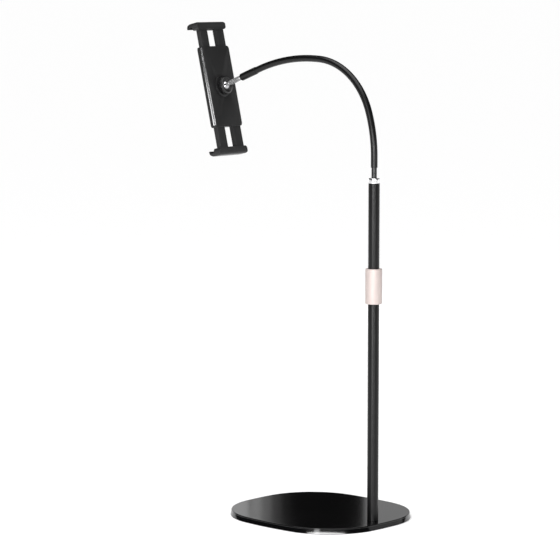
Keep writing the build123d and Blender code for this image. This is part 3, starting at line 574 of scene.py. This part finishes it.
base_mesh.faces.new(base_rings[-1])
base_mesh.faces.new(base_rings[0])
finished("base_shell", base_mesh, base_lacquer, "stand", ("base_cover",))

# ---- Pole ----

tube_low, tube_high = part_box("lower_tube")
pole_x = (tube_low.x + tube_high.x) / 2
pole_y = (tube_low.y + tube_high.y) / 2
tube_radius = (tube_high.x - tube_low.x) / 2
POLE = Matrix.Translation((pole_x, pole_y, 0))
LOWER_BORE = 8.1 * MM
UPPER_BORE = 7.8 * MM
TUBE_EDGE = 0.4 * MM
SLIDING_GAP = 0.05 * MM


def pipe(name, node, inner, material, body):
    """A turned tube with softened rims that stands in for a tube of the frame."""
    low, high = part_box(node)
    outer = (high.x - low.x) / 2
    corners = [(inner, low.z), (outer, low.z), (outer, high.z), (inner, high.z)]
    profile = softened(corners, TUBE_EDGE)
    finished(name, turned(profile), material, body, (node,), place=POLE)


pipe("lower_pole_tube", "lower_tube", LOWER_BORE, tube_lacquer, "stand")
pipe("upper_pole_tube", "upper_tube", UPPER_BORE, tube_lacquer, "upper_pole")

COLLAR_MOUTH = 8.05 * MM
COLLET_ROOM = 0.3 * MM
COLLAR_DROP = 0.08 * MM
COLLAR_EDGES = millimetres(0.2, 0.9, 0.9, 0.2, 0, 0, 0, 0)
collar_low, collar_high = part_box("lock_collar")
collar_radius = (collar_high.x - collar_low.x) / 2
collar_top = collar_high.z - COLLAR_DROP
collet_low, collet_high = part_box("collar_collet")
cavity = (collet_high.x - collet_low.x) / 2 + COLLET_ROOM
cavity_top = collet_high.z + COLLET_ROOM
cavity_foot = collet_low.z - COLLET_ROOM
collar_profile = softened(
    [
        (tube_radius + SLIDING_GAP, collar_low.z),
        (collar_radius, collar_low.z),
        (collar_radius, collar_top),
        (COLLAR_MOUTH, collar_top),
        (COLLAR_MOUTH, cavity_top),
        (cavity, cavity_top),
        (cavity, cavity_foot),
        (tube_radius + SLIDING_GAP, cavity_foot),
    ],
    COLLAR_EDGES,
)
finished(
    "twist_collar",
    turned(collar_profile),
    rose_satin,
    "collar",
    ("lock_collar",),
    place=POLE,
)

RING_BORE = 4.6 * MM
RING_EDGES = millimetres(0, 0.3, 1.1, 0.2)
ring_low, ring_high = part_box("top_ring")
ring_profile = softened(
    [
        (RING_BORE, ring_low.z),
        (tube_radius, ring_low.z),
        (tube_radius, ring_high.z),
        (RING_BORE, ring_high.z),
    ],
    RING_EDGES,
)
finished(
    "pole_top_ring",
    turned(ring_profile),
    chrome,
    "upper_pole",
    ("top_ring",),
    place=POLE,
)

# ---- Gooseneck ----

spigot_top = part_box("neck_socket")[1].z
NECK_RADIUS = 5.7 * MM
NECK_BORE = 3.65 * MM
NECK_FOOT = 17 * MM
NECK_END = 31 * MM
NECK_BENDS = ((232 * MM, 19.0, 2), (126 * MM, 67.0, 3), (347 * MM, 24.0, 3))
NECK_PARTS = 16
NECK_SIDES = 40
BEND_REACH_MM = 12

neck_runs = [("straight", NECK_FOOT, 0.0)]
for radius, angle, links in NECK_BENDS:
    neck_runs += [("bend", radius, angle / links)] * links
neck_runs.append(("straight", NECK_END, 0.0))


def neck_line():
    """Each run of the gooseneck as (point, direction) pairs in the arc's plane."""
    point = Vector((pole_x, pole_y, spigot_top))
    heading = pi / 2
    runs = []
    for kind, size, angle in neck_runs:
        places = []
        for step in range(NECK_PARTS + 1):
            if kind == "straight":
                now = heading
                spot = point + Vector((cos(heading), 0, sin(heading))) * size * step / NECK_PARTS
            else:
                now = heading + radians(angle) * step / NECK_PARTS
                centre = point + Vector((-sin(heading), 0, cos(heading))) * size
                spot = centre - Vector((-sin(now), 0, cos(now))) * size
            places.append((spot, Vector((cos(now), 0, sin(now)))))
        runs.append(places)
        point, heading = places[-1][0], now
    return runs


neck_places = neck_line()
neck_count = len(neck_places) - 1
SIDE = Vector((0, 1, 0))


def tube_along(places, outer, inner, steps=NECK_SIDES):
    """A closed tube through places, with a bore."""
    mesh = bmesh.new()
    loops = []
    for radius in (outer, inner):
        rings = []
        for spot, way in places:
            up = way.cross(SIDE)
            ring = []
            for step in range(steps):
                angle = 2 * pi * step / steps
                ring.append(mesh.verts.new(spot + (SIDE * cos(angle) + up * sin(angle)) * radius))
            rings.append(ring)
        loops.append(rings)
    for rings in loops:
        for lower, upper in zip(rings, rings[1:]):
            for step in range(steps):
                after = (step + 1) % steps
                mesh.faces.new((lower[step], lower[after], upper[after], upper[step]))
    for end in (0, -1):
        rim, bore = loops[0][end], loops[1][end]
        for step in range(steps):
            after = (step + 1) % steps
            mesh.faces.new((rim[step], rim[after], bore[after], bore[step]))
    return mesh


# The joint meant for binding its piece from its upper body; every neck piece, this one too, is
# only baked in place and bound to no body.
UPWARD_JOINT = 3

for index in range(1, neck_count + 1):
    before, ahead = neck_places[index - 1], neck_places[index]
    half = len(before) // 2
    first = before if index == 1 else before[half:]
    second = ahead if index == neck_count else ahead[: half + 1]
    piece = finished(
        f"neck_cover_{index}",
        tube_along(first + second[1:], NECK_RADIUS, NECK_BORE),
        sleeve_rubber,
        f"neck_{index}",
        (f"neck_sleeve_{index}",) if index > 1 else ("neck_sleeve_0", "neck_sleeve_1"),
        ride=False,
    )
    spot, way = ahead[0]
    near, far = spot - way * BEND_REACH_MM * MM, spot + way * BEND_REACH_MM * MM
    if index == UPWARD_JOINT:
        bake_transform(piece)
    else:
        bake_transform(piece)

# ---- Head sleeve, ball and stem ----

end_spot, end_way = neck_places[-1][-1]
HEAD_FRONT = 12.5 * MM
HEAD_LENGTH = 37 * MM
HEAD_RADIUS = 6.5 * MM
HEAD_EDGES = millimetres(0.2, 1.3, 0.78, 0, 0, 0)
BALL_RADIUS = 8.5 * MM
BALL_NECK = 3.2 * MM
BALL_STEPS = 24
STEM_RADIUS = 4.4 * MM
STEM_VISIBLE = 45.3 * MM
STEM_SINK = 1 * MM
STEM_SHORT = 0.4 * MM
STEM_BEVEL = 0.6 * MM
STEM_FLARE = (
    (BALL_NECK, 12.7 * MM),
    (BALL_NECK + 0.15 * MM, 13.1 * MM),
    (STEM_RADIUS - 0.25 * MM, 15.7 * MM),
    (STEM_RADIUS, 16.2 * MM),
)
head_place = axis_place(end_spot + end_way * HEAD_FRONT, end_way)
head_profile = softened(
    [
        (STEM_RADIUS + SLIDING_GAP, 0),
        (HEAD_RADIUS, 0),
        (HEAD_RADIUS, -HEAD_LENGTH),
        (NECK_RADIUS, -HEAD_LENGTH),
        (NECK_RADIUS, -HEAD_FRONT),
        (STEM_RADIUS + SLIDING_GAP, -HEAD_FRONT),
    ],
    HEAD_EDGES,
)
finished(
    "head_end_sleeve",
    turned(head_profile),
    sleeve_rubber,
    "neck_9",
    ("head_sleeve",),
    place=head_place,
)

ball_centre = end_spot + end_way * (HEAD_FRONT + STEM_VISIBLE)
stem_place = axis_place(ball_centre, -end_way)
ball_profile = [(0, -BALL_RADIUS)]
for step in range(1, BALL_STEPS):
    angle = -pi / 2 + pi * step / BALL_STEPS
    if BALL_RADIUS * cos(angle) > BALL_NECK or angle < 0:
        ball_profile.append((BALL_RADIUS * cos(angle), BALL_RADIUS * sin(angle)))
ball_cut = sqrt(BALL_RADIUS**2 - BALL_NECK**2)
ball_profile += [(BALL_NECK, ball_cut), (0, ball_cut)]
stem_root = BALL_RADIUS - STEM_SINK
stem_end = STEM_VISIBLE + HEAD_FRONT - STEM_SHORT
stem_profile = [
    (0, stem_root),
    (BALL_NECK, stem_root),
    *STEM_FLARE,
    (STEM_RADIUS, stem_end - STEM_BEVEL),
    (STEM_RADIUS - STEM_BEVEL, stem_end),
    (0, stem_end),
]
finished(
    "ball",
    turned(ball_profile),
    ball_steel,
    "ball",
    ("ball_stem",),
    place=stem_place,
)
finished(
    "ball_neck_and_stem",
    turned(stem_profile),
    stem_nickel,
    "ball",
    place=stem_place,
)

# ---- Socket boss, grip ring and lock nut ----

HOLDER_PAN = radians(5.4)
HOLDER_PITCH = radians(12.9)
holder_out = Vector(
    (
        cos(HOLDER_PAN) * cos(HOLDER_PITCH),
        sin(HOLDER_PAN) * cos(HOLDER_PITCH),
        sin(HOLDER_PITCH),
    )
)
holder_across = Vector((-sin(HOLDER_PAN), cos(HOLDER_PAN), 0))
holder_up = holder_out.cross(holder_across)
holder_turn = Matrix((holder_across, holder_up, holder_out)).transposed()
HOLDER = Matrix.Translation(ball_centre) @ holder_turn.to_4x4()

CAVITY = 9.35 * MM
CAVITY_MOUTH = CAVITY * 0.9943
CAVITY_SPAN = (0, -88)
CAVITY_STEPS = 16
PLATE_FACE = -4.5 * MM
CUP_BOTTOM = -11 * MM
CUP_RADIUS = 10.6 * MM
CUP_BEVEL = 3.4 * MM
SOCKET_RADIUS = 13.4 * MM
SOCKET_RIM = 1.0 * MM
SKIRT_TOP = -2.6 * MM
SKIRT_LEDGE = 0.6 * MM
FLANGE_RADIUS = 19 * MM
FLANGE_THICKNESS = 1.4 * MM
BOSS_EDGES = millimetres(0, 0, 0, 0, 0.15, 0.6, 0.4, 0, 0.3, 0)
NUT_RADIUS = 15.6 * MM
NUT_TOP = 6.5 * MM


def arc_points(radius, first, last, steps):
    """Points on a circle about the ball's centre, as (radius, height) pairs."""
    span = [radians(first + (last - first) * step / steps) for step in range(steps + 1)]
    return [(radius * cos(angle), radius * sin(angle)) for angle in span]


boss_profile = softened(
    [
        (0, CUP_BOTTOM),
        (CUP_RADIUS - CUP_BEVEL, CUP_BOTTOM),
        (CUP_RADIUS, CUP_BOTTOM + CUP_BEVEL),
        (CUP_RADIUS, PLATE_FACE),
        (FLANGE_RADIUS, PLATE_FACE),
        (FLANGE_RADIUS, PLATE_FACE + FLANGE_THICKNESS),
        (NUT_RADIUS + SKIRT_LEDGE, SKIRT_TOP),
        (SOCKET_RADIUS, SKIRT_TOP),
        (SOCKET_RADIUS, SOCKET_RIM),
        (CAVITY_MOUTH, SOCKET_RIM),
    ],
    BOSS_EDGES,
)
boss_profile += arc_points(CAVITY, *CAVITY_SPAN, CAVITY_STEPS)
boss_profile.append((0, -CAVITY))
finished(
    "socket_boss",
    turned(boss_profile),
    holder_plastic,
    "holder",
    ("ball_socket",),
    place=HOLDER,
)

FLUTES = 18
FLUTE_DEPTH = 0.75 * MM
FLUTE_SHARPNESS = 3
FLUTE_LIMIT = 1.4 * MM
NUT_FOOT = SKIRT_TOP + 0.3 * MM
NUT_SHOULDER = NUT_TOP - 1.5 * MM
NUT_DISH = ((13.9, 0.5), (13.6, 0.1), (10.9, 0.1), (10.5, 0.7), (9.0, 0.7))
NUT_MOUTH = 7.6 * MM
NUT_CEILING = 4.65 * MM
NUT_EDGES = millimetres(0, 0.7, 1.1, 0.15, 0.15, 0.15, 0.15, 0.3, 0, 0)
NUT_SIDES = 360
# A thin lighter grey ring, proud of the nut's face: a painted highlight for the shine of a
# polished chamfer edge.
NUT_HIGHLIGHT_RING = ((12.9, 0.2), (13.5, 0.2), (13.4, 0), (13.0, 0))
NUT_HIGHLIGHT_EDGES = millimetres(0, 0, 0.06, 0.06)
NUT_HIGHLIGHT_SIDES = 128
LINER_BORE = 8.55 * MM
LINER_SPAN = (7.4, 32.5)
LINER_STEPS = 8
LINER_RADIUS = 13.3 * MM
LINER_TOP = 4.6 * MM
LINER_FOOT = 1.1 * MM


def fluted(radius, height, angle):
    """Shallow scallops around the nut's barrel."""
    if radius < NUT_RADIUS - FLUTE_LIMIT or height > NUT_TOP - FLUTE_LIMIT:
        return radius
    return radius - FLUTE_DEPTH * max(0.0, cos(FLUTES * angle)) ** FLUTE_SHARPNESS


def below_nut_top(points):
    """Profile points from pairs of a radius and a depth below the nut's top, in millimetres."""
    return [(radius * MM, NUT_TOP - depth * MM) for radius, depth in points]


nut_profile = softened(
    [
        (SOCKET_RADIUS + SLIDING_GAP, NUT_FOOT),
        (NUT_RADIUS, NUT_FOOT),
        (NUT_RADIUS, NUT_SHOULDER),
        *below_nut_top(NUT_DISH),
        (NUT_MOUTH, NUT_CEILING),
        (SOCKET_RADIUS + SLIDING_GAP, NUT_CEILING),
    ],
    NUT_EDGES,
)
finished(
    "fluted_lock_nut",
    turned(nut_profile, NUT_SIDES, fluted),
    nut_plastic,
    "nut",
    ("lock_nut",),
    place=HOLDER,
)
# The painted highlight ring on the nut's face, riding with the nut.
nut_highlight_profile = softened(below_nut_top(NUT_HIGHLIGHT_RING), NUT_HIGHLIGHT_EDGES)
finished(
    "nut_painted_highlight_ring",
    turned(nut_highlight_profile, NUT_HIGHLIGHT_SIDES),
    grey_plastic_and_painted_highlight,
    "nut",
    place=HOLDER,
)

grip_profile = arc_points(LINER_BORE, *LINER_SPAN, LINER_STEPS)
grip_profile += [(LINER_RADIUS, LINER_TOP), (LINER_RADIUS, LINER_FOOT)]
finished(
    "grip_ring_liner",
    turned(grip_profile),
    grey_plastic_and_painted_highlight,
    "holder",
    ("grip_ring",),
    place=HOLDER,
)

# ---- Holder: trim strips, cover plate and jaws ----

WELD_DISTANCE = 0.000004
FLAT_ANGLE = radians(0.6)
CRISP_ANGLE = radians(28)
SHORTEST_EDGE = 1.2
EDGE_STEPS = 3


def soft_edged(name, node, width, material, body):
    """A copy of a rigid node with its sharp edges rounded, as a mould leaves them."""
    mesh = bmesh.new()
    mesh.from_mesh(nodes[node].data)
    bmesh.ops.remove_doubles(mesh, verts=mesh.verts, dist=WELD_DISTANCE)
    bmesh.ops.dissolve_limit(
        mesh, angle_limit=FLAT_ANGLE, verts=mesh.verts, edges=mesh.edges, delimit={"NORMAL"}
    )
    crisp = [
        edge
        for edge in mesh.edges
        if len(edge.link_faces) == 2
        and edge.calc_face_angle(0) > CRISP_ANGLE
        and edge.calc_length() > width * SHORTEST_EDGE
    ]
    bmesh.ops.bevel(
        mesh,
        geom=crisp,
        offset=width,
        offset_type="OFFSET",
        segments=EDGE_STEPS,
        profile=0.5,
        affect="EDGES",
        clamp_overlap=True,
    )
    return finished(name, mesh, material, body, (node,))


TRIM_IN = 35.05 * MM
TRIM_OUT = 36.55 * MM
TRIM_HALF = 68.2 * MM
TRIM_TOP = PLATE_FACE - 0.3 * MM
TRIM_FOOT = TRIM_TOP - 5.6 * MM
BED_OUT = TRIM_OUT - 0.4 * MM
FOOT_RAIL = (TRIM_FOOT, TRIM_FOOT + 1.9 * MM)
TOP_RAIL = (TRIM_TOP - 1.0 * MM, TRIM_TOP)
RIB_COUNT = 46
RIB_FIRST = -TRIM_HALF + 1.6 * MM
RIB_PITCH = 3.0 * MM
RIB_HALF = 0.55 * MM
RIB_IN = TRIM_OUT - 0.6 * MM
RIB_OUT = TRIM_OUT - 0.1 * MM
RIB_FOOT = TRIM_FOOT + 1.7 * MM
RIB_TOP = TRIM_TOP - 0.8 * MM
RIB_SLANT = 0.6
RAIL_EDGE = 0.16 * MM
RAIL_EDGE_STEPS = 2
BLOCK_FACES = (
    (0, 1, 3, 2),
    (4, 6, 7, 5),
    (0, 4, 5, 1),
    (2, 3, 7, 6),
    (0, 2, 6, 4),
    (1, 5, 7, 3),
)


def block(mesh, low, high, slant=0.0):
    """A box between two corners, leaned along its second axis by its third."""
    middle = (low[2] + high[2]) / 2
    corners = []
    for x in (low[0], high[0]):
        for y in (low[1], high[1]):
            for z in (low[2], high[2]):
                corners.append(mesh.verts.new((x, y + slant * (z - middle), z)))
    for face in BLOCK_FACES:
        mesh.faces.new([corners[index] for index in face])


for side, trim_name in ((1, "trim_right"), (-1, "trim_left")):
    bed = bmesh.new()
    block(bed, (side * TRIM_IN, -TRIM_HALF, TRIM_FOOT), (side * BED_OUT, TRIM_HALF, TRIM_TOP))
    finished(
        f"{trim_name}_bed", bed, trim_shade, "holder", (trim_name,), place=HOLDER
    )
    rails = bmesh.new()
    for low, high in (FOOT_RAIL, TOP_RAIL):
        block(rails, (side * TRIM_IN, -TRIM_HALF, low), (side * TRIM_OUT, TRIM_HALF, high))
    for step in range(RIB_COUNT):
        middle = RIB_FIRST + step * RIB_PITCH
        low = (side * RIB_IN, middle - RIB_HALF, RIB_FOOT)
        high = (side * RIB_OUT, middle + RIB_HALF, RIB_TOP)
        block(rails, low, high, RIB_SLANT)
    bmesh.ops.bevel(
        rails,
        geom=rails.edges[:],
        offset=RAIL_EDGE,
        segments=RAIL_EDGE_STEPS,
        profile=0.5,
        affect="EDGES",
    )
    finished(f"{trim_name}_rails", rails, trim_metal, "holder", place=HOLDER)

PLATE_EDGE = 0.25 * MM
JAW_EDGE = 0.5 * MM
soft_edged(
    "back_cover_plate", "cover_plate", PLATE_EDGE, holder_plastic, "holder"
)
soft_edged("upper_hooked_jaw", "upper_jaw", JAW_EDGE, jaw_plastic, "upper_clamp")
soft_edged("lower_hooked_jaw", "lower_jaw", JAW_EDGE, jaw_plastic, "lower_clamp")

# ---- Stage, camera and light ----

FLOOR_SIZE = 600
FLOOR_WHITE = (0.99, 0.99, 0.99)
FARTHEST = 1500
SENSOR_WIDTH = 36
VIEW_PIXELS = 560
FOCAL_PIXELS = 2462
VIEW_AZIMUTH = radians(43.41)
VIEW_ELEVATION = radians(6.74)
VIEW_DISTANCE = 4.1938
VIEW_TARGET = Vector((-0.0497, -0.0486, 0.408))
OBJECT_MIDDLE = (0, 0, 0.4)
FRONT_STRIP_AIM = (0, 0, 0.2)
REAR_AWAY = -3.0
REAR_UP = 0.85
REAR_AIM_UP = 0.3
REAR_WIDTH = 1.8
REAR_HEIGHT = 1.2
REAR_LEFT = -1.05
REAR_LEFT_GLOW = 0.8
REAR_RIGHT = 1.08
REAR_RIGHT_GLOW = 0.5
FADE_LEFT = -0.14
FADE_WIDTH = 0.03
FADE_SHARES = (0.7, 0.36, 0.12, 0.02)
SUN_STRENGTH = 3.2
SUN_SPREAD = radians(70)
SUN_FORWARD = 0.2
SUN_LEFT = 0.12
ROOM_STRENGTH = 0.005


def stage_finish(name, colour):
    """A plain matt white that takes shadows."""
    material = bpy.data.materials.new(name)
    material.use_nodes = True
    made = Finish(material.node_tree)
    lit = made.node("ShaderNodeBsdfDiffuse", {}, {"Color": colour})
    made.node("ShaderNodeOutputMaterial", {}, {"Surface": lit})
    return material


floor_mesh = bmesh.new()
bmesh.ops.create_grid(floor_mesh, x_segments=2, y_segments=2, size=FLOOR_SIZE)
floor_data = bpy.data.meshes.new("floor")
floor_mesh.to_mesh(floor_data)
floor_mesh.free()
floor = bpy.data.objects.new("floor", floor_data)
bpy.context.scene.collection.objects.link(floor)
floor.data.materials.append(stage_finish("floor_white", FLOOR_WHITE))

camera_data = bpy.data.cameras.new("camera")
camera = bpy.data.objects.new("camera", camera_data)
bpy.context.scene.collection.objects.link(camera)
camera_data.sensor_width = SENSOR_WIDTH
camera_data.lens = SENSOR_WIDTH * FOCAL_PIXELS / VIEW_PIXELS
camera_data.clip_end = FARTHEST
view_back = Vector(
    (
        sin(VIEW_AZIMUTH) * cos(VIEW_ELEVATION),
        -cos(VIEW_AZIMUTH) * cos(VIEW_ELEVATION),
        sin(VIEW_ELEVATION),
    )
)
camera.location = VIEW_TARGET + view_back * VIEW_DISTANCE
camera.rotation_euler = view_back.to_track_quat("Z", "Y").to_euler()
bpy.context.scene.camera = camera

view_right = Vector((cos(VIEW_AZIMUTH), sin(VIEW_AZIMUTH), 0))
level_back = Vector((view_back.x, view_back.y, 0)).normalized()


def softbox(name, place, width, height, glow, aim=OBJECT_MIDDLE):
    """A soft lamp placed (right, towards the camera, up) and aimed at (x, y, z)."""
    lamp = bpy.data.lights.new(name, "AREA")
    lamp.shape = "RECTANGLE"
    lamp.size = width
    lamp.size_y = height
    lamp.energy = glow * pi * width * height
    item = bpy.data.objects.new(name, lamp)
    bpy.context.scene.collection.objects.link(item)
    item.location = view_right * place[0] + level_back * place[1] + Vector((0, 0, place[2]))
    item.rotation_euler = (item.location - Vector(aim)).to_track_quat("Z", "Y").to_euler()
    item.visible_camera = False


softbox("key_softbox", (-1.1, 2.8, 1.1), 0.5, 2.2, 7)
softbox("front_strip", (-0.25, 3.0, 0.7), 4.0, 0.16, 27, FRONT_STRIP_AIM)
softbox("right_softbox", (3.0, -0.3, 0.9), 2.2, 1.6, 0.6)


def rear_softbox(name, right, width, glow):
    """A softbox behind the object, aimed at a point above the X axis."""
    place, aim = (right, REAR_AWAY, REAR_UP), (right, 0, REAR_AIM_UP)
    softbox(name, place, width, REAR_HEIGHT, glow, aim)


rear_softbox("rear_left_softbox", REAR_LEFT, REAR_WIDTH, REAR_LEFT_GLOW)
for step, share in enumerate(FADE_SHARES):
    right = FADE_LEFT + FADE_WIDTH * step
    rear_softbox("rear_fade", right, FADE_WIDTH, REAR_LEFT_GLOW * share)
rear_softbox("rear_right_softbox", REAR_RIGHT, REAR_WIDTH, REAR_RIGHT_GLOW)

sky_data = bpy.data.lights.new("overhead_light", "SUN")
sky_data.energy = SUN_STRENGTH
sky_data.angle = SUN_SPREAD
sky = bpy.data.objects.new("overhead_light", sky_data)
bpy.context.scene.collection.objects.link(sky)
sun_way = level_back * SUN_FORWARD - view_right * SUN_LEFT + UP
sky.rotation_euler = sun_way.to_track_quat("Z", "Y").to_euler()

world = bpy.data.worlds.new("studio")
bpy.context.scene.world = world
world.use_nodes = True
room = Finish(world.node_tree)
fill = room.node("ShaderNodeBackground", {}, {"Color": (1, 1, 1), "Strength": ROOM_STRENGTH})
room.node("ShaderNodeOutputWorld", {}, {"Surface": fill})

bpy.context.scene.view_settings.view_transform = "Standard"
